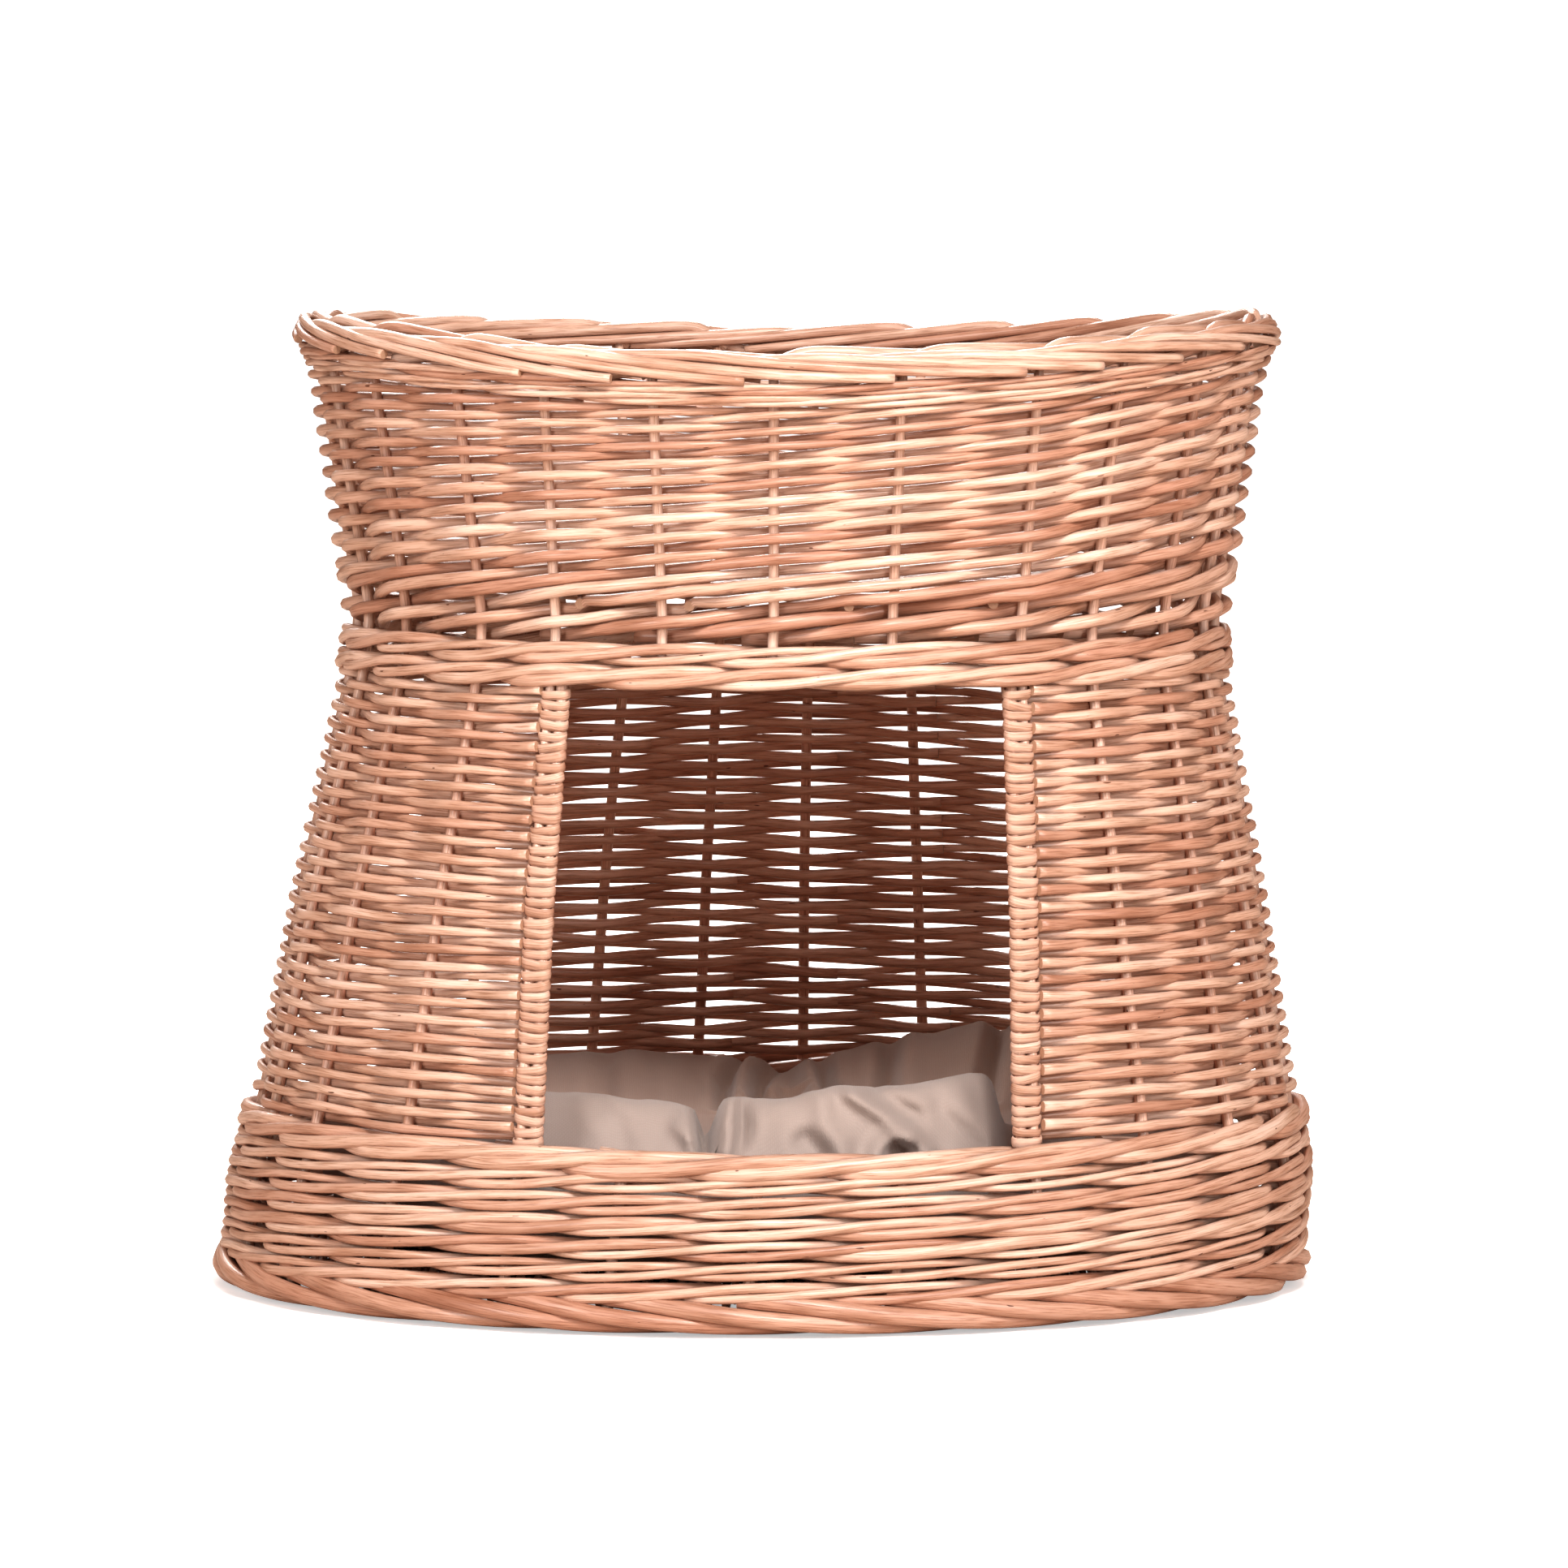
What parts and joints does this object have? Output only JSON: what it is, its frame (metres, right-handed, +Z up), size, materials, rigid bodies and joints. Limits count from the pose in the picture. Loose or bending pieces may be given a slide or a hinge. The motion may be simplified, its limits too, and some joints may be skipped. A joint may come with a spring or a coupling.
{
  "type": "wicker pet bed basket",
  "caption": "Two-storey oval willow basket: a cave with a front doorway and a loose cushion, and an open woven bed on top.",
  "frame": {"origin": "centre of the oval footprint, on the floor", "axes": "+Z up, +X along the long axis of the oval, -Y out through the doorway"},
  "size_m": [0.5509, 0.4471, 0.487],
  "materials": {
    "willow": "varnished",
    "willow_stake": "varnished",
    "cotton": "woven"
  },
  "bodies": {
    "basket": {"base_stick_1": "willow_stake", "base_stick_2": "willow_stake", "base_stick_3": "willow_stake", "base_stick_4": "willow_stake", "base_stick_5": "willow_stake", "base_weave": "willow", "cave_wall_1": "willow", "cave_wall_2": "willow", "cave_wall_3": "willow", "cave_wall_4": "willow", "cave_wall_5": "willow", "cave_wall_6": "willow", "door_post_left": "willow_stake", "door_post_right": "willow_stake", "door_wrap_left": "willow", "door_wrap_right": "willow", "foot_border": "willow", "lintel_stake_00": "willow_stake", "lintel_stake_01": "willow_stake", "lintel_stake_23": "willow_stake", "sill_stake_00": "willow_stake", "sill_stake_01": "willow_stake", "sill_stake_23": "willow_stake", "stake_02": "willow_stake", "stake_03": "willow_stake", "stake_04": "willow_stake", "stake_05": "willow_stake", "stake_06": "willow_stake", "stake_07": "willow_stake", "stake_08": "willow_stake", "stake_09": "willow_stake", "stake_10": "willow_stake", "stake_11": "willow_stake", "stake_12": "willow_stake", "stake_13": "willow_stake", "stake_14": "willow_stake", "stake_15": "willow_stake", "stake_16": "willow_stake", "stake_17": "willow_stake", "stake_18": "willow_stake", "stake_19": "willow_stake", "stake_20": "willow_stake", "stake_21": "willow_stake", "stake_22": "willow_stake", "top_border": "willow", "tray_rim": "willow", "tray_wall_lower": "willow", "tray_wall_upper": "willow", "upper_base_wale": "willow", "upper_floor_stick_1": "willow_stake", "upper_floor_stick_2": "willow_stake", "upper_floor_stick_3": "willow_stake", "upper_floor_stick_4": "willow_stake", "upper_floor_weave": "willow", "upper_wall_1": "willow", "upper_wall_2": "willow", "upper_wall_3": "willow", "waist_rand": "willow", "waist_wale": "willow"},
    "cushion": {"lower_cushion": "cotton"}
  },
  "joints": [
    {"name": "cushion_lift", "type": "slide", "parent": "basket", "child": "cushion", "axis": [0, 0, 1], "range_m": [0, 0.08]}
  ]
}
